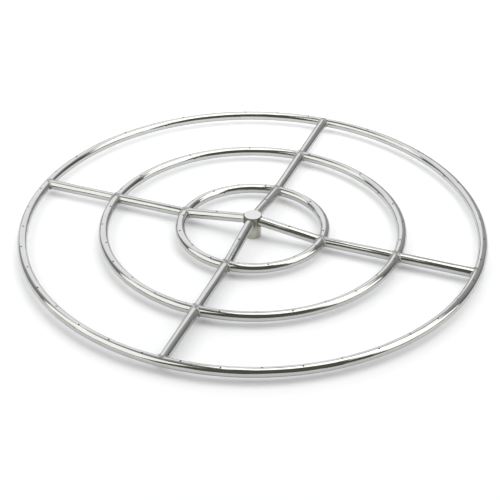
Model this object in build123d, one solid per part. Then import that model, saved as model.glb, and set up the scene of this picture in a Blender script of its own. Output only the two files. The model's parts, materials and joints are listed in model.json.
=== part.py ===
from build123d import *

import os
from math import cos, radians, sin

# Three-ring gas burner: tube rings in one plane, a cross of coped spokes and a hub with a pipe-thread inlet.
# Millimetres, +Z up. The origin is the middle of the hub's foot, on which the burner stands.

# Tube stock, the same for rings and spokes
TUBE_OD = 19.05
TUBE_WALL = 1.65

# Rings, by outside diameter, and the height of their centre lines above the foot
INNER_RING_OD = 303.0
MIDDLE_RING_OD = 602.0
OUTER_RING_OD = 914.4
RING_LEVEL = 19.05

# Spokes: how far the inner ones climb from the ring to the hub's wall
SPOKE_RISE = 16.5
SPOKE_SIDES = {"right": 0, "back": 90, "left": 180, "front": 270}

# Hub: turned from bar, blind from below, with a tapping bore for a 3/4 inch taper pipe thread
HUB_OD = 33.4
HUB_HEAD = 2.0  # the top's height above the spokes where they meet the wall
HUB_EDGE = 0.6
HUB_CROWN = 4.0  # metal left over the chamber
INLET_BORE = 23.42
INLET_DEPTH = 20.0
INLET_MOUTH = 1.6
CHAMBER_BORE = 19.0

# Gas ways: the hole in a wall under each tube end
GAS_WAY = 11.1

# Flame ports: alternate ports lean to the inside and the outside of the ring
PORT_BORE = 3.2
PORT_LEAN = 15.0
INNER_PORTS = 16
INNER_FIRST_PORT = 9.6
MIDDLE_PORTS = 28
MIDDLE_FIRST_PORT = 8.9
OUTER_PORTS = 40
OUTER_FIRST_PORT = 4.5

# Crossover ports: one low on the inner side of each ring, near the middle of each quarter
CROSSOVER_BEARING = 46.0
CROSSOVER_CLIMB = 16.0

# Spoke ports: one on top of each inner spoke, at this distance from the hub's axis
SPOKE_PORT_RADIUS = 74.5

# Welds: the root gap left by a cope, a bead's reach along and height over a tube, and its blunt toe
ROOT_GAP = 0.3
BEAD_LEG = 2.2
BEAD_HEIGHT = 1.4
BEAD_TOE = 0.5
SEAM_WIDTH = 2.4
INNER_SEAM_BEARING = 200.0
MIDDLE_SEAM_BEARING = 195.0
OUTER_SEAM_BEARING = 189.0

TUBE_R = TUBE_OD / 2
BORE_R = TUBE_R - TUBE_WALL
HUB_R = HUB_OD / 2
UP = Vector(0, 0, 1)
FROM_FOOT = (Align.CENTER, Align.CENTER, Align.MIN)
DRILL_TURN = 30.0  # keeps a drilled hole's seam line out of the tube's section plane


def outward(bearing):
    """The level direction at a bearing, in degrees from +X."""
    return Vector(cos(radians(bearing)), sin(radians(bearing)), 0)


def drill(start, direction, bearing, bore, depth):
    """A drilled hole from a point along a direction that lies in the upright plane of a bearing."""
    hole = Rot(0, 0, DRILL_TURN) * Cylinder(bore / 2, depth, align=FROM_FOOT)
    return Plane(origin=start, x_dir=outward(bearing + 90), z_dir=direction).location * hole


def tube_section():
    """The tube's cross section."""
    return Circle(TUBE_R) - Circle(BORE_R)


def all_round(shape):
    """Copies of a shape made on the right-hand side, one for each spoke of the cross."""
    return [Rot(0, 0, bearing) * shape for bearing in SPOKE_SIDES.values()]


# Rings


class Ring:
    """One tube ring: its size, its ports and the bearing of its closing seam."""

    def __init__(self, outside, ports, first_port, seam_bearing):
        self.radius = (outside - TUBE_OD) / 2
        self.ports = ports
        self.first_port = first_port
        self.seam_bearing = seam_bearing
        self.seam_sweep = SEAM_WIDTH / radians(self.radius)

    def centre(self, bearing=0.0):
        """A point on the tube's centre line."""
        return outward(bearing) * self.radius + UP * RING_LEVEL

    def body(self, tube_radius):
        """The whole ring as a solid of the given tube radius."""
        return Pos(0, 0, RING_LEVEL) * Torus(self.radius, tube_radius)

    def arc(self, first_bearing, sweep):
        """A stretch of bent tube that starts at a bearing."""
        section = Plane.XZ * Pos(self.radius, RING_LEVEL) * tube_section()
        return Rot(0, 0, first_bearing) * revolve(section, Axis.Z, sweep)

    def hole(self, bearing, climb, bore):
        """A hole from the tube's middle out through its wall: climb 0 faces outwards, 90 up, 180 inwards."""
        direction = outward(bearing) * cos(radians(climb)) + UP * sin(radians(climb))
        return drill(self.centre(bearing), direction, bearing, bore, TUBE_OD)

    def flame_ports(self):
        """Ports on top, leaning in and out by turns."""
        holes = []
        for index in range(self.ports):
            lean = PORT_LEAN if index % 2 == 0 else -PORT_LEAN
            holes.append(self.hole(self.first_port + index * 360 / self.ports, 90 + lean, PORT_BORE))
        return holes

    def crossover_ports(self):
        """Low ports that pass the flame to the ring inside this one."""
        return all_round(self.hole(CROSSOVER_BEARING, 180 - CROSSOVER_CLIMB, PORT_BORE))

    def tube(self, gas_ways):
        """The bent tube, open at its seam and drilled; gas_ways gives the climbs of the holes under the spokes."""
        bent = self.arc(self.seam_bearing + self.seam_sweep / 2, 360 - self.seam_sweep)
        holes = self.flame_ports() + self.crossover_ports()
        for climb in gas_ways:
            holes += all_round(self.hole(0, climb, GAS_WAY))
        return bent - holes

    def seam_weld(self):
        """The butt weld that closes the ring, ground flush inside and out."""
        return self.arc(self.seam_bearing - self.seam_sweep / 2, self.seam_sweep)


INNER = Ring(INNER_RING_OD, INNER_PORTS, INNER_FIRST_PORT, INNER_SEAM_BEARING)
MIDDLE = Ring(MIDDLE_RING_OD, MIDDLE_PORTS, MIDDLE_FIRST_PORT, MIDDLE_SEAM_BEARING)
OUTER = Ring(OUTER_RING_OD, OUTER_PORTS, OUTER_FIRST_PORT, OUTER_SEAM_BEARING)


# Spokes, all made along +X and then turned to their sides


class Spoke:
    """A straight tube between two points, coped to the shapes that it meets at its ends."""

    def __init__(self, start, end, copes):
        along = (end - start).normalized()
        self.out_axis = Plane(origin=start, x_dir=outward(90), z_dir=along)
        self.back_axis = Plane(origin=end, x_dir=outward(90), z_dir=along * -1)
        self.tube = self.out_axis.location * extrude(tube_section(), (end - start).length) - copes

    def drill_top(self, radius):
        """One port square to the tube, on top, at a distance from the hub's axis."""
        along = self.out_axis.z_dir
        place = self.out_axis.origin + along * ((radius - self.out_axis.origin.X) / along.X)
        self.tube -= drill(place, along.cross(outward(90)), 0, PORT_BORE, TUBE_OD)


def ring_cope(ring):
    """What a spoke's end loses where it meets a ring."""
    return ring.body(TUBE_R + ROOT_GAP)


# Where an inner spoke's axis meets the hub's wall and its axis, and the height of the hub that follows
WALL_POINT = Vector(HUB_R, 0, RING_LEVEL + SPOKE_RISE)
INNER_SLOPE = (INNER.centre() - WALL_POINT).normalized()
HUB_POINT = WALL_POINT - INNER_SLOPE * (HUB_R / INNER_SLOPE.X)
HUB_HEIGHT = WALL_POINT.Z + TUBE_R / INNER_SLOPE.X + HUB_HEAD


def hub_bar(radius):
    """A bar round the hub's axis, long enough to cope any spoke end."""
    return Pos(0, 0, HUB_HEIGHT / 2) * Cylinder(radius, 2 * HUB_HEIGHT)


INNER_SPOKE = Spoke(HUB_POINT, INNER.centre(), [hub_bar(HUB_R + ROOT_GAP), ring_cope(INNER)])
INNER_SPOKE.drill_top(SPOKE_PORT_RADIUS)
MIDDLE_SPOKE = Spoke(INNER.centre(), MIDDLE.centre(), [ring_cope(INNER), ring_cope(MIDDLE)])
OUTER_SPOKE = Spoke(MIDDLE.centre(), OUTER.centre(), [ring_cope(MIDDLE), ring_cope(OUTER)])


# Hub


def hub_body():
    """The turned hub, with its stepped blind bore and four outlets along the spokes."""
    body = Cylinder(HUB_R, HUB_HEIGHT, align=FROM_FOOT)
    body = chamfer(body.edges().filter_by(GeomType.CIRCLE), HUB_EDGE)
    body -= Cylinder(INLET_BORE / 2, INLET_DEPTH, align=FROM_FOOT)
    body -= Cylinder(CHAMBER_BORE / 2, HUB_HEIGHT - HUB_CROWN, align=FROM_FOOT)
    body -= Cone(INLET_BORE / 2 + INLET_MOUTH, INLET_BORE / 2, INLET_MOUTH, align=FROM_FOOT)
    return body - all_round(drill(HUB_POINT, INNER_SLOPE, 0, GAS_WAY, HUB_OD))


# Welds


def bead_collar(reach):
    """A collar round a tube end, with sloped toes; its own Z runs along the tube from the joint's middle."""
    outline = Polyline(
        (BORE_R, BEAD_TOE),
        (TUBE_R + BEAD_TOE, BEAD_TOE),
        (TUBE_R + BEAD_HEIGHT, BEAD_TOE + BEAD_LEG),
        (TUBE_R + BEAD_HEIGHT, reach + BEAD_LEG - BEAD_HEIGHT),
        (TUBE_R + BEAD_TOE, reach + BEAD_LEG),
        (BORE_R, reach + BEAD_LEG),
        close=True,
    )
    return revolve(Plane.XZ * make_face(outline), Axis.Z)


def ring_welds(ring, axis, spoke):
    """The four beads on one side of a ring; the axis leaves the middle of the ring's tube along the spoke."""
    skin = ring.body(TUBE_R + BEAD_LEG) - ring.body(TUBE_R)
    inside = Cylinder(ring.radius, 2 * (RING_LEVEL + TUBE_OD))
    side = skin & inside if axis.z_dir.X < 0 else skin - inside
    bead = (axis.location * bead_collar(TUBE_R)) & side
    return Compound(all_round(bead - spoke.tube))


def hub_welds():
    """The four beads on the hub's wall."""
    skin = hub_bar(HUB_R + BEAD_LEG) - hub_bar(HUB_R)
    bead = (INNER_SPOKE.out_axis.location * bead_collar(HUB_R)) & skin
    return Compound(all_round(bead - INNER_SPOKE.tube))


def build():
    """Every node by name."""
    facing_in, facing_out = 180, 0
    nodes = {
        "hub": hub_body(),
        "inner_ring": INNER.tube([facing_in, facing_out]),
        "middle_ring": MIDDLE.tube([facing_in, facing_out]),
        "outer_ring": OUTER.tube([facing_in]),
        "inner_ring_seam_weld": INNER.seam_weld(),
        "middle_ring_seam_weld": MIDDLE.seam_weld(),
        "outer_ring_seam_weld": OUTER.seam_weld(),
        "hub_welds": hub_welds(),
        "inner_ring_inner_welds": ring_welds(INNER, INNER_SPOKE.back_axis, INNER_SPOKE),
        "inner_ring_outer_welds": ring_welds(INNER, MIDDLE_SPOKE.out_axis, MIDDLE_SPOKE),
        "middle_ring_inner_welds": ring_welds(MIDDLE, MIDDLE_SPOKE.back_axis, MIDDLE_SPOKE),
        "middle_ring_outer_welds": ring_welds(MIDDLE, OUTER_SPOKE.out_axis, OUTER_SPOKE),
        "outer_ring_welds": ring_welds(OUTER, OUTER_SPOKE.back_axis, OUTER_SPOKE),
    }
    for name, spoke in (("inner", INNER_SPOKE), ("middle", MIDDLE_SPOKE), ("outer", OUTER_SPOKE)):
        for side, turned in zip(SPOKE_SIDES, all_round(spoke.tube)):
            nodes[f"{name}_spoke_{side}"] = turned
    return nodes


os.makedirs("parts", exist_ok=True)
for node, shape in build().items():
    export_step(shape, f"parts/{node}.step")
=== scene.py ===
import json
from collections import namedtuple
from itertools import pairwise
from math import atan2, ceil, cos, pi, radians, sin, tau

import bmesh
import bpy
from bpy.props import FloatProperty, FloatVectorProperty, IntProperty, PointerProperty
from mathutils import Matrix, Vector
from mathutils.kdtree import KDTree


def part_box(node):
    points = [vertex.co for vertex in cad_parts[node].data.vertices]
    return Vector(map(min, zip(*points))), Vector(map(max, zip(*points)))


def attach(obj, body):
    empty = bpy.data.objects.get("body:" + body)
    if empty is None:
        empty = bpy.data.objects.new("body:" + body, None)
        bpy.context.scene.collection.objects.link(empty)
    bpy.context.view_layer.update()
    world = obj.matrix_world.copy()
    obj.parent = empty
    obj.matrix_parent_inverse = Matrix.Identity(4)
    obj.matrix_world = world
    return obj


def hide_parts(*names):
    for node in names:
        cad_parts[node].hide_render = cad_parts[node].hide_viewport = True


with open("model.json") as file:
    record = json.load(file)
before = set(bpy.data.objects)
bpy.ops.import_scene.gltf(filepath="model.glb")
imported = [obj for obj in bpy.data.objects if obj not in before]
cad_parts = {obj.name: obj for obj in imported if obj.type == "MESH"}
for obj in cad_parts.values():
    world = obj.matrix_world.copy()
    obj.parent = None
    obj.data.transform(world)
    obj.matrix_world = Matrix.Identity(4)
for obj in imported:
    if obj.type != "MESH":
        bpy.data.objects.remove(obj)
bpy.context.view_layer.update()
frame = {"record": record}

bl_info = {
    "name": "Three-ring gas burner",
    "version": (1, 0, 0),
    "blender": (4, 5, 0),
    "location": "3D View > Sidebar > Burner",
    "description": "Models a stainless tube burner round its frame and sets a studio for it",
    "category": "Add Mesh",
}

BODY = "root"
UP = Vector((0, 0, 1))
MM = 0.001
SIDES = {"right": 0.0, "back": pi / 2, "left": pi, "front": 3 * pi / 2}

# How finely the pieces are drawn
TUBE_SIDES = 48
RIM_SIDES = 16
RING_STRIDE = 6.2 * MM  # the longest stretch of bent tube between two cross sections
PORT_CLEARING = 1.85 * MM  # skin is cleared this far round a port before its rim is laid
PLAIN_END = 2.2  # a spoke is plain up to this many tube radii from what it meets, and coped from there
BEAD_SIDES = 12
BEAD_STRIDES = 5  # cross sections to one ripple of a bead
SADDLE_STRETCH = 1.2  # a bead's length, as a share of the way round its tube
LATHE_STEPS = 96
MARCH_STEPS = 80
TOUCHING = 0.0005 * MM
WELDING = 0.01 * MM
SHARP_EDGE = radians(32)

# The tube's place before it was bent: its cross section, then the distance along it
STRAIGHT = "straight_tube"

# How the texture nodes behave
WAVE_RATE = 20  # a wave texture of scale 1 runs through this many radians to a metre
NOISE_LOW = 0.3  # nearly all of a noise texture lies between these two
NOISE_HIGH = 0.7


def linear(colour):
    """An sRGB hex colour as linear red, green, blue and alpha."""
    channels = [int(colour[index:index + 2], 16) / 255 for index in (1, 3, 5)]
    return [c / 12.92 if c <= 0.04045 else ((c + 0.055) / 1.055) ** 2.4 for c in channels] + [1.0]


class BurnerTubes(bpy.types.PropertyGroup):
    """Sizes of the tube stock and of the holes drilled in it."""

    wall: FloatProperty(
        name="Tube wall", description="Thickness of the tube's wall",
        default=1.65 * MM, unit="LENGTH",
    )
    seam_width: FloatProperty(
        name="Seam width", description="Width of the butt weld that closes a ring",
        default=2.4 * MM, unit="LENGTH",
    )
    spoke_rise: FloatProperty(
        name="Spoke rise", description="Climb of an inner spoke from its ring to the hub",
        default=16.5 * MM, unit="LENGTH",
    )
    root_gap: FloatProperty(
        name="Root gap", description="Gap between a coped tube end and what it meets",
        default=0.3 * MM, unit="LENGTH",
    )
    port_bore: FloatProperty(
        name="Port bore", description="Diameter of a flame port",
        default=3.2 * MM, unit="LENGTH",
    )
    port_edge: FloatProperty(
        name="Port edge", description="Width of the broken edge round a port",
        default=0.25 * MM, unit="LENGTH",
    )
    inner_lean: FloatVectorProperty(
        name="Inner port lean", description="Lean of the inner ring's ports, in and out by turns",
        size=2, default=(radians(15), radians(15)), unit="ROTATION",
    )
    middle_lean: FloatVectorProperty(
        name="Middle port lean", description="Lean of the middle ring's ports, in and out by turns",
        size=2, default=(radians(15), radians(15)), unit="ROTATION",
    )
    outer_lean: FloatVectorProperty(
        name="Outer port lean", description="Lean of the outer ring's ports, in and out by turns",
        size=2, default=(radians(4), radians(11)), unit="ROTATION",
    )
    inner_ports: IntProperty(name="Inner ports", description="Flame ports on the inner ring", default=16)
    middle_ports: IntProperty(name="Middle ports", description="Flame ports on the middle ring", default=28)
    outer_ports: IntProperty(name="Outer ports", description="Flame ports on the outer ring", default=40)
    inner_first: FloatProperty(
        name="First inner port", description="Bearing of the inner ring's first port",
        default=radians(9.6), subtype="ANGLE",
    )
    middle_first: FloatProperty(
        name="First middle port", description="Bearing of the middle ring's first port",
        default=radians(8.9), subtype="ANGLE",
    )
    outer_first: FloatProperty(
        name="First outer port", description="Bearing of the outer ring's first port",
        default=radians(4.5), subtype="ANGLE",
    )
    crossover_bearing: FloatProperty(
        name="Crossover bearing", description="Bearing of a ring's low port in each quarter",
        default=radians(46), subtype="ANGLE",
    )
    crossover_climb: FloatProperty(
        name="Crossover climb", description="How far a low port points above level",
        default=radians(16), subtype="ANGLE",
    )
    spoke_port: FloatProperty(
        name="Spoke port", description="Distance of a spoke's port from the hub's axis",
        default=74.5 * MM, unit="LENGTH",
    )


class BurnerHub(bpy.types.PropertyGroup):
    """Sizes of the turned hub."""

    edge: FloatProperty(
        name="Edge", description="Broken edge at the top and foot",
        default=0.6 * MM, unit="LENGTH",
    )
    mouth: FloatProperty(
        name="Mouth", description="Lead-in at the threaded inlet",
        default=1.6 * MM, unit="LENGTH",
    )
    inlet_depth: FloatProperty(
        name="Inlet depth", description="Depth of the inlet",
        default=20 * MM, unit="LENGTH",
    )
    chamber_bore: FloatProperty(
        name="Chamber bore", description="Bore above the inlet",
        default=19 * MM, unit="LENGTH",
    )
    crown: FloatProperty(
        name="Crown", description="Metal over the chamber",
        default=4 * MM, unit="LENGTH",
    )
    thread_pitch: FloatProperty(
        name="Thread pitch", description="Pitch of the inlet's pipe thread",
        default=1.814 * MM, unit="LENGTH",
    )
    thread_depth: FloatProperty(
        name="Thread depth", description="Height of the thread's ridge",
        default=1.16 * MM, unit="LENGTH",
    )


class BurnerWelds(bpy.types.PropertyGroup):
    """Sizes of the weld beads."""

    half_width: FloatProperty(
        name="Half width", description="Reach of a bead to each side of the joint",
        default=3.0 * MM, unit="LENGTH",
    )
    cap_height: FloatProperty(
        name="Cap height", description="Height of a bead where the tubes are level",
        default=1.0 * MM, unit="LENGTH",
    )
    throat: FloatProperty(
        name="Throat", description="Depth of a bead in the corner between two tubes",
        default=2.3 * MM, unit="LENGTH",
    )
    hub_share: FloatProperty(
        name="Hub share", description="Size of the hub's beads as a share of the others",
        default=0.7, subtype="FACTOR",
    )
    ripple: FloatProperty(
        name="Ripple", description="Share of its radius by which a bead swells at each ripple",
        default=0.07, subtype="FACTOR",
    )
    ripple_pitch: FloatProperty(
        name="Ripple pitch", description="Length of one ripple of a bead",
        default=1.3 * MM, unit="LENGTH",
    )


class BurnerColours(bpy.types.PropertyGroup):
    """Colours of the metal, clean and where heat has tinted it."""

    tube: FloatVectorProperty(
        name="Tube", description="Polished tube",
        size=4, default=linear("#C1C1C0"), subtype="COLOR",
    )
    tube_dull: FloatVectorProperty(
        name="Tube, dull", description="Tube where the polish is weaker",
        size=4, default=linear("#B5B5B3"), subtype="COLOR",
    )
    # Dull drilled bore and ports, made darker than the metal as painted shade in the holes
    tube_bore: FloatVectorProperty(
        name="Tube bore", description="Unpolished bore and ports",
        size=4, default=linear("#5C5A55"), subtype="COLOR",
    )
    seam: FloatVectorProperty(
        name="Seam", description="Ground butt weld of a ring",
        size=4, default=linear("#BDBDBB"), subtype="COLOR",
    )
    # Matt top of the hub, painted paler than the side as painted light from above
    hub_top: FloatVectorProperty(
        name="Hub top", description="Blasted top of the hub",
        size=4, default=linear("#D2D2D2"), subtype="COLOR",
    )
    hub_side: FloatVectorProperty(
        name="Hub side", description="Turned side of the hub",
        size=4, default=linear("#B4B3A8"), subtype="COLOR",
    )
    # Hub's side near the welds: heat colour, and painted shade under the spokes
    hub_heat: FloatVectorProperty(
        name="Hub heat", description="Hub's side beside the welds",
        size=4, default=linear("#7F7B6E"), subtype="COLOR",
    )
    bead: FloatVectorProperty(
        name="Bead", description="Brushed weld bead",
        size=4, default=linear("#A6A6A5"), subtype="COLOR",
    )
    # Heat colour on a bead, also used as painted shade at its toes and at the hub
    bead_heat: FloatVectorProperty(
        name="Bead heat", description="Heat colour left on a bead",
        size=4, default=linear("#67645A"), subtype="COLOR",
    )


class BurnerStage(bpy.types.PropertyGroup):
    """The camera's place, the floor and the room."""

    azimuth: FloatProperty(
        name="Azimuth", description="Bearing of the camera from the front",
        default=radians(20.43), subtype="ANGLE",
    )
    elevation: FloatProperty(
        name="Elevation", description="Height angle of the camera",
        default=radians(34.46), subtype="ANGLE",
    )
    distance: FloatProperty(
        name="Distance", description="Distance of the camera from what it aims at",
        default=2.658, unit="LENGTH",
    )
    roll: FloatProperty(
        name="Roll", description="Tilt of the camera about its line of sight",
        default=radians(0.24), subtype="ANGLE",
    )
    lens: FloatProperty(
        name="Lens", description="Focal length on a 36 mm wide sensor, as a new camera has",
        default=100.1, unit="CAMERA",
    )
    aim: FloatVectorProperty(
        name="Aim", description="Point in the rings' plane at the middle of the picture",
        size=2, default=(23.6 * MM, -77.9 * MM), unit="LENGTH",
    )
    floor_size: FloatProperty(
        name="Floor size", description="Side of the floor",
        default=24.0, unit="LENGTH",
    )
    floor_colour: FloatVectorProperty(
        name="Floor colour", description="Matt floor",
        size=4, default=linear("#F6F7FB"), subtype="COLOR",
    )
    room_pale: FloatVectorProperty(
        name="Room, pale", description="Room high up behind the burner",
        size=4, default=linear("#C4C4C7"), subtype="COLOR",
    )
    room_dim: FloatVectorProperty(
        name="Room, dim", description="Room on the other sides",
        size=4, default=linear("#66665A"), subtype="COLOR",
    )


# Paths that a tube follows


class Ring:
    """One bent tube, measured from the frame: the circle of its centre line and the bearing of its seam."""

    def __init__(self, name):
        low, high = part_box(f"{name}_ring")
        self.name = name
        self.tube = (high.z - low.z) / 2
        self.level = (high.z + low.z) / 2
        self.radius = (high.x - low.x) / 2 - self.tube
        seam_low, seam_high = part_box(f"{name}_ring_seam_weld")
        seam = seam_low + seam_high
        self.seam_bearing = atan2(seam.y, seam.x)

    def place(self, bearing):
        """Stands a section that is drawn flat upright at a bearing: its X points outwards and its Y up."""
        upright = Matrix.Translation((self.radius, 0, self.level)) @ Matrix.Rotation(pi / 2, 4, "X")
        return Matrix.Rotation(bearing, 4, "Z") @ upright

    def along(self, bearing):
        """Distance along the tube at a bearing."""
        return bearing * self.radius

    def core(self, point):
        """The nearest point of the centre line."""
        return Vector((point.x, point.y, 0)).normalized() * self.radius + UP * self.level

    def clearance(self, point, radius):
        """How far a point is from a skin of that radius round the centre line."""
        return (point - self.core(point)).length - radius

    def standoff(self, point, gap):
        """How far a point is from standing off the ring's tube by a gap."""
        return self.clearance(point, self.tube + gap)


class Spoke:
    """One straight tube along a bearing, from a point near the hub's axis to a point further out."""

    def __init__(self, bearing, near, far):
        turn = Matrix.Rotation(bearing, 3, "Z")
        self.start = turn @ near
        run = turn @ far - self.start
        self.axis = run.normalized()
        self.side = turn @ Vector((0, 1, 0))
        self.top = self.axis.cross(self.side)
        self.length = run.length

    def place(self, distance):
        """Stands a section that is drawn flat across the tube: its X points sideways and its Y up."""
        return frame_matrix(self.start + self.axis * distance, self.side, self.axis)

    def along(self, distance):
        """Distance along the tube."""
        return distance

    def core(self, point):
        """The nearest point of the centre line."""
        return self.start + self.axis * (point - self.start).dot(self.axis)

    def clearance(self, point, radius):
        """How far a point is from a skin of that radius round the centre line."""
        return (point - self.core(point)).length - radius


class HubWall:
    """The hub's round outside, measured from the frame."""

    def __init__(self):
        low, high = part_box("hub")
        self.radius = (high.x - low.x) / 2
        self.height = high.z

    def core(self, point):
        """The nearest point of the axis."""
        return UP * point.z

    def standoff(self, point, gap):
        """How far a point is from standing off the hub's wall by a gap."""
        return Vector((point.x, point.y)).length - self.radius - gap


RINGS = {name: Ring(name) for name in ("inner", "middle", "outer")}
HUB = HubWall()
TUBE_RADIUS = RINGS["inner"].tube

# A port's place on the centre line, the way that it points and the way along the tube
Port = namedtuple("Port", "core axis along")

# The points of one drawn skin and the edges of its two ends
Skin = namedtuple("Skin", "verts first last")


def frame_matrix(origin, x_axis, z_axis):
    """A matrix with an origin, the direction of its Z and, as nearly as that allows, of its X."""
    z = z_axis.normalized()
    y = z.cross(x_axis).normalized()
    matrix = Matrix((y.cross(z), y, z)).transposed().to_4x4()
    matrix.translation = origin
    return matrix


def march(point, direction, clearance):
    """Slides a point along a direction until it touches a surface, given its clearance from that."""
    for _ in range(MARCH_STEPS):
        step = clearance(point)
        point = point + direction * step
        if abs(step) < TOUCHING:
            break
    return point


# Drawing with bmesh


def extruded_loops(bm, edges):
    """Extrudes loops of edges in place and gives the new points and edges."""
    drawn = bmesh.ops.extrude_edge_only(bm, edges=edges)["geom"]
    verts = [item for item in drawn if isinstance(item, bmesh.types.BMVert)]
    loop = [item for item in drawn if isinstance(item, bmesh.types.BMEdge) and item.is_boundary]
    return verts, loop


def draw_tube(path, radii, stations, sides=TUBE_SIDES):
    """Draws straight skins of these radii, a length to each station, and bends them along a path together."""
    bm = bmesh.new()
    lengths = len(stations) - 1
    for radius in radii:
        bmesh.ops.create_cone(
            bm, segments=sides, radius1=radius, radius2=radius, depth=lengths,
            matrix=Matrix.Translation(UP * lengths / 2),
        )
    lengthwise = [edge for edge in bm.edges if not edge.is_boundary]
    bmesh.ops.subdivide_edges(bm, edges=lengthwise, cuts=lengths - 1, use_grid_fill=True)
    straight = bm.verts.layers.float_vector.new(STRAIGHT)
    skins = [Skin([], [], []) for _ in radii]

    def skin_at(vert):
        radius = Vector(vert.co.xy).length
        return min(zip(radii, skins), key=lambda pair: abs(pair[0] - radius))[1]

    for edge in bm.edges:
        if edge.is_boundary:
            skin = skin_at(edge.verts[0])
            end = skin.first if edge.verts[0].co.z < lengths / 2 else skin.last
            end.append(edge)
    places = [path.place(station) for station in stations]
    for vert in bm.verts:
        skin_at(vert).verts.append(vert)
        x, y, index = vert.co
        index = round(index)
        vert[straight] = (x, y, path.along(stations[index]) - path.along(stations[0]))
        vert.co = places[index] @ Vector((x, y, 0))
    return bm, skins


def spread_stations(first, last, ports, pitch, stride):
    """Stations from first to last: five, a pitch apart, at each port, and evenly spread ones between."""
    marks = [first, last]
    for port in ports:
        marks += [port + step * pitch for step in range(-2, 3)]
    marks.sort()
    stations = [marks[0]]
    for before, after in pairwise(marks):
        count = ceil((after - before) / stride)
        stations += [before + (after - before) * (step + 1) / count for step in range(count)]
    return stations


def open_windows(bm, skin, radius, ports):
    """Clears the skin round each port and gives the edges left round all the windows."""
    tree = KDTree(len(skin.verts))
    for index, vert in enumerate(skin.verts):
        tree.insert(vert.co, index)
    tree.balance()
    cleared = []
    for port in ports:
        found = tree.find_range(port.core + port.axis * radius, PORT_CLEARING)
        cleared += [skin.verts[index] for _, index, _ in found]
    bmesh.ops.delete(bm, geom=cleared, context="VERTS")
    ends = {*skin.first, *skin.last}
    left = [vert for vert in skin.verts if vert.is_valid]
    brink = dict.fromkeys(edge for vert in left for edge in vert.link_edges if edge.is_boundary)
    return [edge for edge in brink if edge not in ends]


def lay_rims(bm, edges, path, ports, bore, radius):
    """Extrudes loops of edges to the round rims of ports, with that bore, on the skin of that radius."""
    mouths = KDTree(len(ports))
    for index, port in enumerate(ports):
        mouths.insert(port.core + port.axis * radius, index)
    mouths.balance()
    straight = bm.verts.layers.float_vector[STRAIGHT]
    verts, loops = extruded_loops(bm, edges)
    step = tau / RIM_SIDES
    for vert in verts:
        port = ports[mouths.find(vert.co)[1]]
        across = port.axis.cross(port.along)
        offset = vert.co - port.core
        turn = round(atan2(offset.dot(across), offset.dot(port.along)) / step) * step
        over = port.core + port.axis * 2 * radius + (port.along * cos(turn) + across * sin(turn)) * bore / 2
        vert.co = march(over, -port.axis, lambda point: path.clearance(point, radius))
        x, y, along = vert[straight]
        vert[straight] = (*Vector((x, y)).normalized() * radius, along)
    return loops


def drilled_tube(path, radius, stations, ports, sizes):
    """A tube with a wall, open at both ends, and its ports; gives the skin of its outside and of its bore."""
    bore_radius = radius - sizes.wall
    bm, (skin, bore) = draw_tube(path, (radius, bore_radius), stations)
    bore_faces = dict.fromkeys(face for vert in bore.verts for face in vert.link_faces)
    bmesh.ops.reverse_faces(bm, faces=list(bore_faces))
    windows = open_windows(bm, skin, radius, ports)
    edges = lay_rims(bm, windows, path, ports, sizes.port_bore + 2 * sizes.port_edge, radius)
    rims = lay_rims(bm, edges, path, ports, sizes.port_bore, radius - sizes.port_edge)
    feet = lay_rims(bm, rims, path, ports, sizes.port_bore, bore_radius)
    windows = open_windows(bm, bore, bore_radius, ports)
    feet += lay_rims(bm, windows, path, ports, sizes.port_bore, bore_radius)
    foot_verts = dict.fromkeys(vert for edge in feet for vert in edge.verts)
    bmesh.ops.remove_doubles(bm, verts=list(foot_verts), dist=WELDING)
    return bm, skin, bore


def close_ends(bm, skin, bore):
    """Closes a tube's wall at both ends."""
    bmesh.ops.bridge_loops(bm, edges=skin.first + bore.first)
    bmesh.ops.bridge_loops(bm, edges=skin.last + bore.last)


def finish_piece(bm, name, material, node):
    """Makes the finished piece, which stands for its node of the frame and rides with the body."""
    bmesh.ops.recalc_face_normals(bm, faces=bm.faces)
    if bm.calc_volume(signed=True) < 0:
        bmesh.ops.reverse_faces(bm, faces=bm.faces)
    for face in bm.faces:
        face.smooth = True
    for edge in bm.edges:
        edge.smooth = edge.calc_face_angle(0.0) < SHARP_EDGE
    mesh = bpy.data.meshes.new(name)
    bm.to_mesh(mesh)
    bm.free()
    mesh.materials.append(material)
    piece = bpy.data.objects.new(name, mesh)
    bpy.context.scene.collection.objects.link(piece)
    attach(piece, BODY)
    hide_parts(node)


# Materials


def add_node(tree, kind, inputs=None, **settings):
    """Adds a node with its settings; an input is a value, or a socket to link to it."""
    node = tree.nodes.new(kind)
    for name, value in settings.items():
        setattr(node, name, value)
    for name, value in (inputs or {}).items():
        if isinstance(value, bpy.types.NodeSocket):
            tree.links.new(value, node.inputs[name])
        else:
            node.inputs[name].default_value = value
    return node


def new_material(name):
    """An empty material and its output node, or the material that already has that name and None."""
    material = bpy.data.materials.get(name)
    if material:
        return material, None
    material = bpy.data.materials.new(name)
    material.use_nodes = True
    material.node_tree.nodes.clear()
    return material, add_node(material.node_tree, "ShaderNodeOutputMaterial")


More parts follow.
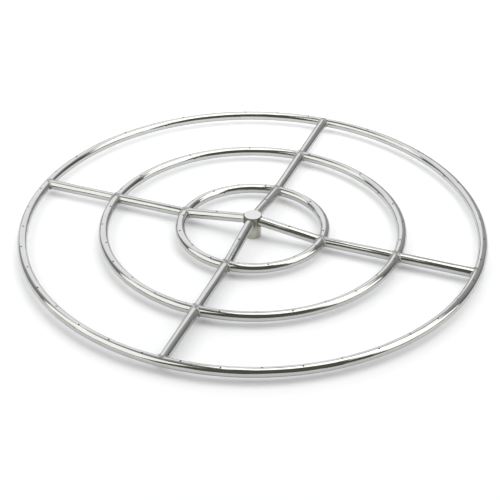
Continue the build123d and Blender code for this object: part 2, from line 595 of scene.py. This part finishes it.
def polished_tube(colours):
    """Polished drawn stainless tube.

    It mirrors the room almost sharply, in bands along its length. The bands waver a little where the bender
    gripped the tube, and faint polishing lines run along it. Inside, from the edges of the ports down to the
    bore, it is left as it was drawn and drilled, dull, and painted dark as painted shade in the holes.
    """
    material, output = new_material("polished drawn stainless tube")
    if output is None:
        return material
    tree = material.node_tree
    place = add_node(tree, "ShaderNodeAttribute", attribute_name=STRAIGHT).outputs["Vector"]
    wave_length = 55 * MM
    wave_height = 0.16 * MM
    waver = add_node(
        tree, "ShaderNodeTexNoise", {"Vector": place, "Scale": 1 / wave_length, "Detail": 1.5}
    ).outputs["Fac"]
    waves = add_node(tree, "ShaderNodeBump", {"Height": waver, "Distance": wave_height}).outputs["Normal"]
    # Polishing lines are finer than a pixel, so they are drawn about ten times as coarse
    line_width = 2.2 * MM
    line_length = 110 * MM
    line_height = 0.2 * MM
    stretched = add_node(
        tree, "ShaderNodeMapping",
        {"Vector": place, "Scale": (1 / line_width, 1 / line_width, 1 / line_length)},
    ).outputs["Vector"]
    lines = add_node(
        tree, "ShaderNodeTexNoise", {"Vector": stretched, "Scale": 1.0, "Detail": 2.0}
    ).outputs["Fac"]
    relief = add_node(tree, "ShaderNodeBump", {"Height": lines, "Distance": line_height, "Normal": waves})
    gloss = add_node(
        tree, "ShaderNodeMapRange",
        {"Value": lines, "From Min": NOISE_LOW, "From Max": NOISE_HIGH, "To Min": 0.07, "To Max": 0.13},
    )
    tone = add_node(
        tree, "ShaderNodeMix", {"Factor": waver, "A": colours.tube_dull, "B": colours.tube}, data_type="RGBA"
    )
    # The polish ends a little way under the skin, at the edge of a port; from there the ports and the bore
    # are dull and painted dark, partly as painted shade
    polished_depth = 0.06 * MM
    dull_depth = 0.2 * MM
    bore_roughness = 0.5
    section = add_node(tree, "ShaderNodeVectorMath", {0: place, 1: (1, 1, 0)}, operation="MULTIPLY")
    reach = add_node(tree, "ShaderNodeVectorMath", {0: section.outputs["Vector"]}, operation="LENGTH")
    dull_and_shaded_inside = add_node(
        tree, "ShaderNodeMapRange",
        {
            "Value": reach.outputs["Value"],
            "From Min": TUBE_RADIUS - dull_depth, "From Max": TUBE_RADIUS - polished_depth,
            "To Min": 1.0, "To Max": 0.0,
        },
    ).outputs["Result"]
    whole_tone = add_node(
        tree, "ShaderNodeMix",
        {"Factor": dull_and_shaded_inside, "A": tone.outputs["Result"], "B": colours.tube_bore}, data_type="RGBA",
    )
    whole_gloss = add_node(
        tree, "ShaderNodeMix", {"Factor": dull_and_shaded_inside, "A": gloss.outputs["Result"], "B": bore_roughness}
    )
    surface = add_node(
        tree, "ShaderNodeBsdfPrincipled",
        {
            "Base Color": whole_tone.outputs["Result"], "Metallic": 1.0,
            "Roughness": whole_gloss.outputs["Result"], "Normal": relief.outputs["Normal"],
        },
    )
    tree.links.new(surface.outputs["BSDF"], output.inputs["Surface"])
    return material


def ground_seam(colours):
    """Butt weld ground flush and polished.

    It is a shade duller than the tube on both sides of it, with grinding lines round the tube.
    """
    material, output = new_material("ground stainless butt weld")
    if output is None:
        return material
    tree = material.node_tree
    place = add_node(tree, "ShaderNodeAttribute", attribute_name=STRAIGHT).outputs["Vector"]
    # Grinding lines are about a tenth as wide as this, too fine to show
    line_width = 0.3 * MM
    line_length = 9 * MM
    stretched = add_node(
        tree, "ShaderNodeMapping",
        {"Vector": place, "Scale": (1 / line_length, 1 / line_length, 1 / line_width)},
    ).outputs["Vector"]
    lines = add_node(
        tree, "ShaderNodeTexNoise", {"Vector": stretched, "Scale": 1.0, "Detail": 1.0}
    ).outputs["Fac"]
    gloss = add_node(
        tree, "ShaderNodeMapRange",
        {"Value": lines, "From Min": NOISE_LOW, "From Max": NOISE_HIGH, "To Min": 0.12, "To Max": 0.2},
    )
    surface = add_node(
        tree, "ShaderNodeBsdfPrincipled",
        {"Base Color": colours.seam, "Metallic": 1.0, "Roughness": gloss.outputs["Result"]},
    )
    tree.links.new(surface.outputs["BSDF"], output.inputs["Surface"])
    return material


def turned_hub(colours):
    """Turned stainless bar.

    Its top is faced and blasted, so it is matt, and it is painted paler than the side as painted light from
    above.
    Its side keeps the sheen of the turning tool, with fine lines round it, and darkens towards the welds with
    heat colour and painted shade under the spokes.
    """
    material, output = new_material("turned stainless bar")
    if output is None:
        return material
    tree = material.node_tree
    place = add_node(tree, "ShaderNodeTexCoord").outputs["Object"]
    height = add_node(tree, "ShaderNodeSeparateXYZ", {"Vector": place}).outputs["Z"]
    brim = 0.3 * MM
    top = add_node(
        tree, "ShaderNodeMath", {0: height, 1: HUB.height - brim}, operation="GREATER_THAN"
    ).outputs["Value"]
    # The tool's feed is about a quarter of this, too fine to show
    feed = 1.0 * MM
    cut_height = 0.03 * MM
    turns = add_node(
        tree, "ShaderNodeTexWave",
        {"Vector": place, "Scale": tau / (WAVE_RATE * feed), "Distortion": 0.4, "Detail": 1.0},
        wave_type="BANDS", bands_direction="Z",
    )
    relief = add_node(tree, "ShaderNodeBump", {"Height": turns.outputs["Fac"], "Distance": cut_height})
    # The side darkens upwards towards the welds: heat colour, and painted shade under the spokes
    heat_low = 18 * MM
    heat_high = 32 * MM
    heat_and_shade = add_node(
        tree, "ShaderNodeMapRange", {"Value": height, "From Min": heat_low, "From Max": heat_high}
    ).outputs["Result"]
    side = add_node(
        tree, "ShaderNodeMix",
        {"Factor": heat_and_shade, "A": colours.hub_side, "B": colours.hub_heat}, data_type="RGBA",
    ).outputs["Result"]
    # The top gets the paler colour: painted light from above
    tone = add_node(
        tree, "ShaderNodeMix", {"Factor": top, "A": side, "B": colours.hub_top}, data_type="RGBA"
    )
    gloss = add_node(tree, "ShaderNodeMapRange", {"Value": top, "To Min": 0.25, "To Max": 0.5})
    surface = add_node(
        tree, "ShaderNodeBsdfPrincipled",
        {
            "Base Color": tone.outputs["Result"], "Metallic": 1.0,
            "Roughness": gloss.outputs["Result"], "Normal": relief.outputs["Normal"],
        },
    )
    tree.links.new(surface.outputs["BSDF"], output.inputs["Surface"])
    return material


def weld_metal(colours):
    """Weld bead, brushed clean.

    It is satin and greyer than the tubes, so it takes the tone of the light round it. Brown heat colour is
    left in patches, where the brush doesn't reach; along its toes the brown is heat colour and painted shade
    in the crease, and the hub's beads are darkened all over with heat colour and painted shade.
    """
    material, output = new_material("brushed stainless weld bead")
    if output is None:
        return material
    tree = material.node_tree
    tint = 0.8
    # The toes, as shares of the way from the middle of the bead to its side
    toe_start = 0.55
    toe_end = 0.95
    section = add_node(tree, "ShaderNodeAttribute", attribute_name=STRAIGHT).outputs["Vector"]
    across = add_node(tree, "ShaderNodeSeparateXYZ", {"Vector": section}).outputs["Y"]
    side = add_node(tree, "ShaderNodeMath", {0: across}, operation="ABSOLUTE").outputs["Value"]
    # The toes are darkened: heat colour and painted shade in the crease where the bead meets the tube
    toe_oxide_and_shade = add_node(
        tree, "ShaderNodeMapRange",
        {"Value": side, "From Min": toe_start, "From Max": toe_end, "To Max": tint},
    ).outputs["Result"]
    place = add_node(tree, "ShaderNodeTexCoord").outputs["Object"]
    patch_width = 5 * MM
    patch_start = 0.45
    patch_end = 0.65
    patches = add_node(
        tree, "ShaderNodeTexNoise", {"Vector": place, "Scale": 1 / patch_width, "Detail": 2.0}
    ).outputs["Fac"]
    patch = add_node(
        tree, "ShaderNodeMapRange",
        {"Value": patches, "From Min": patch_start, "From Max": patch_end, "To Max": tint},
    ).outputs["Result"]
    # The thick hub took more heat than the tubes, so its beads are tinted all over; the darkening is also
    # painted shade in the crevices between the spokes
    hub_tint_and_shade = 0.9
    hub_reach = 55 * MM
    clear_of_hub = 70 * MM
    away = add_node(tree, "ShaderNodeVectorMath", {0: place}, operation="LENGTH").outputs["Value"]
    hub_heat = add_node(
        tree, "ShaderNodeMapRange",
        {"Value": away, "From Min": hub_reach, "From Max": clear_of_hub, "To Min": hub_tint_and_shade, "To Max": 0.0},
    ).outputs["Result"]
    # Heat patches, together with the toes' heat colour and painted shade
    left = add_node(tree, "ShaderNodeMath", {0: toe_oxide_and_shade, 1: patch}, operation="MAXIMUM").outputs["Value"]
    heat_and_shade = add_node(tree, "ShaderNodeMath", {0: left, 1: hub_heat}, operation="MAXIMUM").outputs["Value"]
    tone = add_node(
        tree, "ShaderNodeMix", {"Factor": heat_and_shade, "A": colours.bead, "B": colours.bead_heat}, data_type="RGBA"
    )
    surface = add_node(
        tree, "ShaderNodeBsdfPrincipled",
        {"Base Color": tone.outputs["Result"], "Metallic": 1.0, "Roughness": 0.36},
    )
    tree.links.new(surface.outputs["BSDF"], output.inputs["Surface"])
    return material


def white_floor(stage):
    """White studio floor.

    It is matt. Where the camera or the metal sees it, it is lifted to white with the distance from the
    burner's front, so the shadows stay. From below it can be seen through.
    """
    material, output = new_material("white studio floor")
    if output is None:
        return material
    tree = material.node_tree
    place = add_node(tree, "ShaderNodeTexCoord").outputs["Object"]
    front = picture_direction(pi, 0.0, stage) * RINGS["outer"].radius
    away = add_node(tree, "ShaderNodeVectorMath", {0: place, 1: front}, operation="DISTANCE").outputs["Value"]
    lift_start = 0.2
    lift_end = 2.6
    least_lift = 0.05
    lift = add_node(
        tree, "ShaderNodeMapRange",
        {"Value": away, "From Min": lift_start, "From Max": lift_end, "To Min": least_lift, "To Max": 1.0},
        interpolation_type="SMOOTHSTEP",
    ).outputs["Result"]
    light = add_node(tree, "ShaderNodeLightPath").outputs
    metal = add_node(
        tree, "ShaderNodeMath",
        {0: light["Is Glossy Ray"], 1: light["Is Transmission Ray"]}, operation="MAXIMUM",
    ).outputs["Value"]
    seen = add_node(
        tree, "ShaderNodeMath", {0: light["Is Camera Ray"], 1: metal}, operation="MAXIMUM"
    ).outputs["Value"]
    strength = add_node(tree, "ShaderNodeMath", {0: seen, 1: lift}, operation="MULTIPLY").outputs["Value"]
    glow = add_node(tree, "ShaderNodeEmission", {"Color": linear("#FFFFFF"), "Strength": strength})
    matt = add_node(tree, "ShaderNodeBsdfDiffuse", {"Color": stage.floor_colour})
    above = add_node(tree, "ShaderNodeAddShader", {0: matt.outputs["BSDF"], 1: glow.outputs["Emission"]})
    below = add_node(tree, "ShaderNodeBsdfTransparent")
    underside = add_node(tree, "ShaderNodeNewGeometry").outputs["Backfacing"]
    floor = add_node(
        tree, "ShaderNodeMixShader", {0: underside, 1: above.outputs["Shader"], 2: below.outputs["BSDF"]}
    )
    tree.links.new(floor.outputs["Shader"], output.inputs["Surface"])
    return material


# Pieces


def spoke_run(kind, bearing, tubes):
    """One spoke's path and the two surfaces that its ends meet, nearest the hub first."""
    ring = RINGS[kind]
    far = Vector((ring.radius, 0, ring.level))
    if kind == "inner":
        start = HUB
        wall = Vector((HUB.radius, 0, ring.level + tubes.spoke_rise))
        slope = (far - wall).normalized()
        near = wall - slope * (HUB.radius / slope.x)
    else:
        start = RINGS["inner" if kind == "middle" else "middle"]
        near = Vector((start.radius, 0, start.level))
    return Spoke(bearing, near, far), start, ring


class BURNER_OT_rings(bpy.types.Operator):
    """Bend and drill the three tube rings"""

    bl_idname = "burner.rings"
    bl_label = "Rings"

    def ports(self, ring, tubes):
        """The ports of a ring with their bearings."""
        count = getattr(tubes, f"{ring.name}_ports")
        first = getattr(tubes, f"{ring.name}_first")
        inwards, outwards = getattr(tubes, f"{ring.name}_lean")
        holes = []
        for index in range(count):
            lean = inwards if index % 2 == 0 else -outwards
            holes.append((first + index * tau / count, pi / 2 + lean))
        holes += [(tubes.crossover_bearing + turn, pi - tubes.crossover_climb) for turn in SIDES.values()]
        ports = []
        for bearing, climb in holes:
            outward = Vector((cos(bearing), sin(bearing), 0))
            axis = outward * cos(climb) + UP * sin(climb)
            ports.append((bearing, Port(outward * ring.radius + UP * ring.level, axis, UP.cross(outward))))
        return ports

    def execute(self, context):
        tubes = context.scene.burner_tubes
        material = polished_tube(context.scene.burner_colours)
        for name, ring in RINGS.items():
            ports = self.ports(ring, tubes)
            half_seam = tubes.seam_width / 2 / ring.radius
            first = ring.seam_bearing + half_seam
            last = ring.seam_bearing - half_seam + tau
            bearings = [first + (bearing - first) % tau for bearing, _ in ports]
            pitch = tau / TUBE_SIDES * ring.tube / ring.radius
            stations = spread_stations(first, last, bearings, pitch, RING_STRIDE / ring.radius)
            bm, skin, bore = drilled_tube(ring, ring.tube, stations, [port for _, port in ports], tubes)
            close_ends(bm, skin, bore)
            finish_piece(bm, f"{name}_ring_tube", material, f"{name}_ring")
        return {"FINISHED"}


class BURNER_OT_seams(bpy.types.Operator):
    """Close each ring with its ground butt weld"""

    bl_idname = "burner.seams"
    bl_label = "Ring seams"

    def execute(self, context):
        tubes = context.scene.burner_tubes
        material = ground_seam(context.scene.burner_colours)
        for name, ring in RINGS.items():
            half_seam = tubes.seam_width / 2 / ring.radius
            stations = spread_stations(
                ring.seam_bearing - half_seam, ring.seam_bearing + half_seam, [], half_seam, half_seam / 2
            )
            bm, skin, bore = drilled_tube(ring, ring.tube, stations, [], tubes)
            close_ends(bm, skin, bore)
            finish_piece(bm, f"{name}_ring_seam", material, f"{name}_ring_seam_weld")
        return {"FINISHED"}


class BURNER_OT_spokes(bpy.types.Operator):
    """Cut, cope and drill the twelve spoke tubes"""

    bl_idname = "burner.spokes"
    bl_label = "Spokes"

    def cut(self, kind, side, tubes):
        """One spoke tube, drilled and coped."""
        spoke, start, ring = spoke_run(kind, SIDES[side], tubes)
        ports, marks = [], []
        if kind == "inner":
            mark = tubes.spoke_port / Vector((spoke.axis.x, spoke.axis.y)).length
            marks = [mark]
            ports = [Port(spoke.start + spoke.axis * mark, spoke.top, spoke.axis)]
        plain_end = PLAIN_END * TUBE_RADIUS
        first = plain_end + (HUB.radius if kind == "inner" else 0.0)
        pitch = tau / TUBE_SIDES * TUBE_RADIUS
        stations = spread_stations(first, spoke.length - plain_end, marks, pitch, spoke.length)
        bm, skin, bore = drilled_tube(spoke, TUBE_RADIUS, stations, ports, tubes)
        self.cope(bm, (skin.first, bore.first), -spoke.axis, start, tubes.root_gap)
        self.cope(bm, (skin.last, bore.last), spoke.axis, ring, tubes.root_gap)
        return bm

    def cope(self, bm, ends, direction, meets, root_gap):
        """Runs a tube's end up to the surface that it meets and closes its wall there."""
        coped = []
        for loop in ends:
            verts, edges = extruded_loops(bm, loop)
            for vert in verts:
                vert.co = march(vert.co, direction, lambda point: meets.standoff(point, root_gap))
            coped += edges
        bmesh.ops.bridge_loops(bm, edges=coped)

    def execute(self, context):
        tubes = context.scene.burner_tubes
        material = polished_tube(context.scene.burner_colours)
        for kind in RINGS:
            for side in SIDES:
                bm = self.cut(kind, side, tubes)
                finish_piece(bm, f"{kind}_spoke_{side}_tube", material, f"{kind}_spoke_{side}")
        return {"FINISHED"}


class BURNER_OT_hub(bpy.types.Operator):
    """Turn the hub, bore it and cut its pipe thread"""

    bl_idname = "burner.hub"
    bl_label = "Hub"

    def turn(self, bm, sizes, root):
        """The hub's outline, spun round its axis."""
        ceiling = HUB.height - sizes.crown
        chamber = sizes.chamber_bore / 2
        outline = [
            (0, HUB.height),
            (HUB.radius - sizes.edge, HUB.height),
            (HUB.radius, HUB.height - sizes.edge),
            (HUB.radius, sizes.edge),
            (HUB.radius - sizes.edge, 0),
            (root + sizes.edge, 0),
            (root, sizes.mouth),
            (root, sizes.inlet_depth),
            (chamber, sizes.inlet_depth),
            (chamber, ceiling),
            (0, ceiling),
        ]
        verts = [bm.verts.new((radius, 0, height)) for radius, height in outline]
        edges = [bm.edges.new(pair) for pair in pairwise(verts)]
        bmesh.ops.spin(
            bm, geom=verts + edges, cent=(0, 0, 0), axis=UP, angle=tau, steps=LATHE_STEPS, use_merge=True
        )
        bmesh.ops.remove_doubles(bm, verts=bm.verts, dist=WELDING)

    def cut_thread(self, bm, sizes, crest, root):
        """The thread's ridge, wound up the inlet's wall and sunk a little into it."""
        sunk = 0.1 * MM
        foot_share = 0.47
        crest_share = 0.08
        half_foot = sizes.thread_pitch * foot_share
        half_crest = sizes.thread_pitch * crest_share
        start = sizes.mouth + half_foot
        section = [
            (root + sunk, start - half_foot),
            (crest, start - half_crest),
            (crest, start + half_crest),
            (root + sunk, start + half_foot),
        ]
        face = bm.faces.new([bm.verts.new((radius, 0, height)) for radius, height in section])
        turns = (sizes.inlet_depth - start - half_foot) / sizes.thread_pitch
        steps = round(turns * LATHE_STEPS / 2)
        rise = UP * (turns * sizes.thread_pitch / steps)
        bmesh.ops.spin(
            bm, geom=[face, *face.edges, *face.verts], cent=(0, 0, 0), axis=UP, dvec=rise,
            angle=turns * tau, steps=steps, use_merge=False,
        )

    def execute(self, context):
        sizes = context.scene.burner_hub
        mounts = {mount["name"]: mount for mount in frame["record"]["mounts"]}
        crest = mounts["gas_inlet"]["dims"]["r_mm"] * MM
        root = crest + sizes.thread_depth
        bm = bmesh.new()
        self.turn(bm, sizes, root)
        self.cut_thread(bm, sizes, crest, root)
        finish_piece(bm, "hub_body", turned_hub(context.scene.burner_colours), "hub")
        return {"FINISHED"}


class Bead:
    """The closed line where a spoke's skin meets a surface, round which a fillet bead is laid in strides."""

    def __init__(self, spoke, direction, meets, welds, root_gap):
        self.welds = welds
        self.share = welds.hub_share if meets is HUB else 1.0
        ripples = round(tau * TUBE_RADIUS * SADDLE_STRETCH / welds.ripple_pitch)
        self.strides = ripples * BEAD_STRIDES
        self.corners = []
        self.skins = []
        middle = spoke.start + spoke.axis * spoke.length / 2
        for stride in range(self.strides):
            turn = tau * stride / self.strides
            outward = spoke.side * cos(turn) + spoke.top * sin(turn)
            corner = march(
                middle + outward * TUBE_RADIUS, direction,
                lambda point: meets.standoff(point, root_gap / 2),
            )
            self.corners.append(corner)
            self.skins.append((outward, (corner - meets.core(corner)).normalized()))

    def place(self, stride):
        """Stands a round section across the bead: low where the skins run on level, full in a corner."""
        welds = self.welds
        spoke_out, other_out = self.skins[stride]
        level = max(0.0, spoke_out.dot(other_out))
        swell = self.share * (1 + welds.ripple * sin(tau * stride / BEAD_STRIDES))
        height = (welds.cap_height * level + welds.throat * (1 - level)) * swell
        ahead = self.corners[(stride + 1) % self.strides] - self.corners[stride - 1]
        across = frame_matrix(self.corners[stride], spoke_out + other_out, ahead)
        return across @ Matrix.Diagonal((height, self.share * welds.half_width, 1, 1))

    def along(self, stride):
        """Distance along the bead, counted in strides."""
        return stride


class BURNER_OT_welds(bpy.types.Operator):
    """Lay the weld beads round the tube ends"""

    bl_idname = "burner.welds"
    bl_label = "Weld beads"

    groups = {
        "hub_welds": ("inner", "near"),
        "inner_ring_inner_welds": ("inner", "far"),
        "inner_ring_outer_welds": ("middle", "near"),
        "middle_ring_inner_welds": ("middle", "far"),
        "middle_ring_outer_welds": ("outer", "near"),
        "outer_ring_welds": ("outer", "far"),
    }

    def lay(self, bead):
        """One bead, closed on itself, and its copies on the other sides."""
        bm, (skin,) = draw_tube(bead, (1.0,), range(bead.strides), BEAD_SIDES)
        bmesh.ops.bridge_loops(bm, edges=skin.first + skin.last)
        copies = len(SIDES) - 1
        bmesh.ops.spin(
            bm, geom=bm.verts[:] + bm.edges[:] + bm.faces[:], cent=(0, 0, 0), axis=UP,
            angle=tau * copies / len(SIDES), steps=copies, use_duplicate=True,
        )
        return bm

    def execute(self, context):
        tubes = context.scene.burner_tubes
        welds = context.scene.burner_welds
        material = weld_metal(context.scene.burner_colours)
        for node, (kind, end) in self.groups.items():
            spoke, start, ring = spoke_run(kind, SIDES["right"], tubes)
            meets, direction = (start, -spoke.axis) if end == "near" else (ring, spoke.axis)
            bm = self.lay(Bead(spoke, direction, meets, welds, tubes.root_gap))
            finish_piece(bm, node.replace("welds", "beads"), material, node)
        return {"FINISHED"}


# Stage

Softbox = namedtuple("Softbox", "name azimuth elevation distance width height turn radiance colour")

# Azimuths are from the picture's depth, to the right; lengths are in metres; radiance 1 is white
SOFTBOXES = (
    Softbox("right_softbox", radians(103), radians(32), 2.5, 1.8, 1.8, 0.0, 1.95, "#FFFFFA"),
    Softbox("left_softbox", radians(-109), radians(35), 2.6, 2.8, 2.6, 0.0, 1.6, "#FFFFFA"),
    Softbox("top_softbox", radians(70), radians(74), 2.6, 2.2, 1.9, radians(70), 2.4, "#FFFFFC"),
    Softbox("back_card", radians(-20), radians(35), 1.32, 1.7, 1.1, 0.0, 0.9, "#FDFDFF"),
)


def picture_direction(azimuth, elevation, stage):
    """A direction, from its azimuth off the picture's depth and its elevation."""
    bearing = azimuth - stage.azimuth
    level = cos(elevation)
    return Vector((sin(bearing) * level, cos(bearing) * level, sin(elevation)))


def room_light(world, stage):
    """The room: pale high up behind the burner and dim on the other sides."""
    world.use_nodes = True
    tree = world.node_tree
    tree.nodes.clear()
    pale_azimuth = radians(-4)
    pale_elevation = radians(24)
    # Cosines of the angle from the palest direction
    dim_from = 0.2
    pale_from = 0.95
    palest = picture_direction(pale_azimuth, pale_elevation, stage)
    place = add_node(tree, "ShaderNodeTexCoord").outputs["Generated"]
    towards = add_node(
        tree, "ShaderNodeVectorMath", {0: place, 1: palest}, operation="DOT_PRODUCT"
    ).outputs["Value"]
    share = add_node(
        tree, "ShaderNodeMapRange", {"Value": towards, "From Min": dim_from, "From Max": pale_from},
        interpolation_type="SMOOTHSTEP",
    ).outputs["Result"]
    tone = add_node(
        tree, "ShaderNodeMix", {"Factor": share, "A": stage.room_dim, "B": stage.room_pale}, data_type="RGBA"
    ).outputs["Result"]
    room = add_node(tree, "ShaderNodeBackground", {"Color": tone, "Strength": 1.0})
    add_node(tree, "ShaderNodeOutputWorld", {"Surface": room.outputs["Background"]})


class BURNER_OT_stage(bpy.types.Operator):
    """Set the floor, the softboxes, the room and the camera"""

    bl_idname = "burner.stage"
    bl_label = "Stage"

    def lay_floor(self, context, stage):
        """A wide flat floor under the hub's foot."""
        bm = bmesh.new()
        bmesh.ops.create_grid(bm, x_segments=1, y_segments=1, size=stage.floor_size / 2)
        mesh = bpy.data.meshes.new("floor")
        bm.to_mesh(mesh)
        bm.free()
        mesh.materials.append(white_floor(stage))
        floor = bpy.data.objects.new("floor", mesh)
        context.scene.collection.objects.link(floor)

    def hang(self, context, softbox, stage):
        """One softbox, turned to the burner's middle."""
        lamp = bpy.data.lights.new(softbox.name, "AREA")
        lamp.shape = "RECTANGLE"
        lamp.size = softbox.width
        lamp.size_y = softbox.height
        lamp.color = linear(softbox.colour)[:3]
        # The energy at which a flat lamp of that area has that radiance
        lamp.energy = softbox.radiance * pi * softbox.width * softbox.height
        away = picture_direction(softbox.azimuth, softbox.elevation, stage)
        facing = frame_matrix(away * softbox.distance, UP.cross(away), away)
        holder = bpy.data.objects.new(softbox.name, lamp)
        holder.matrix_world = facing @ Matrix.Rotation(softbox.turn, 4, "Z")
        context.scene.collection.objects.link(holder)

    def place_camera(self, context, stage):
        """The camera, aimed at a point in the plane of the rings."""
        lens = bpy.data.cameras.new("camera")
        lens.lens = stage.lens
        aim = Vector((*stage.aim, RINGS["outer"].level))
        back = picture_direction(pi, stage.elevation, stage)
        sight = frame_matrix(aim + back * stage.distance, UP.cross(back), back)
        holder = bpy.data.objects.new("camera", lens)
        holder.matrix_world = sight @ Matrix.Rotation(stage.roll, 4, "Z")
        context.scene.collection.objects.link(holder)
        context.scene.camera = holder

    def execute(self, context):
        stage = context.scene.burner_stage
        self.lay_floor(context, stage)
        for softbox in SOFTBOXES:
            self.hang(context, softbox, stage)
        world = context.scene.world or bpy.data.worlds.new("room")
        context.scene.world = world
        room_light(world, stage)
        self.place_camera(context, stage)
        context.scene.view_settings.view_transform = "Standard"
        return {"FINISHED"}


class BURNER_PT_panel(bpy.types.Panel):
    """The burner's pieces, sizes and colours"""

    bl_idname = "BURNER_PT_panel"
    bl_label = "Three-ring burner"
    bl_space_type = "VIEW_3D"
    bl_region_type = "UI"
    bl_category = "Burner"

    def draw(self, context):
        for group in GROUPS:
            box = self.layout.box()
            for name in GROUPS[group].__annotations__:
                box.prop(getattr(context.scene, group), name)
        for operator in OPERATORS:
            self.layout.operator(operator.bl_idname)


GROUPS = {
    "burner_tubes": BurnerTubes,
    "burner_hub": BurnerHub,
    "burner_welds": BurnerWelds,
    "burner_colours": BurnerColours,
    "burner_stage": BurnerStage,
}
OPERATORS = (
    BURNER_OT_rings,
    BURNER_OT_seams,
    BURNER_OT_spokes,
    BURNER_OT_hub,
    BURNER_OT_welds,
    BURNER_OT_stage,
)


def register():
    for name, group in GROUPS.items():
        bpy.utils.register_class(group)
        setattr(bpy.types.Scene, name, PointerProperty(type=group))
    for operator in OPERATORS:
        bpy.utils.register_class(operator)
    bpy.utils.register_class(BURNER_PT_panel)


def unregister():
    bpy.utils.unregister_class(BURNER_PT_panel)
    for operator in reversed(OPERATORS):
        bpy.utils.unregister_class(operator)
    for name, group in GROUPS.items():
        delattr(bpy.types.Scene, name)
        bpy.utils.unregister_class(group)


def main():
    register()
    bpy.ops.burner.rings()
    bpy.ops.burner.seams()
    bpy.ops.burner.spokes()
    bpy.ops.burner.hub()
    bpy.ops.burner.welds()
    bpy.ops.burner.stage()


if __name__ == "__main__":
    main()
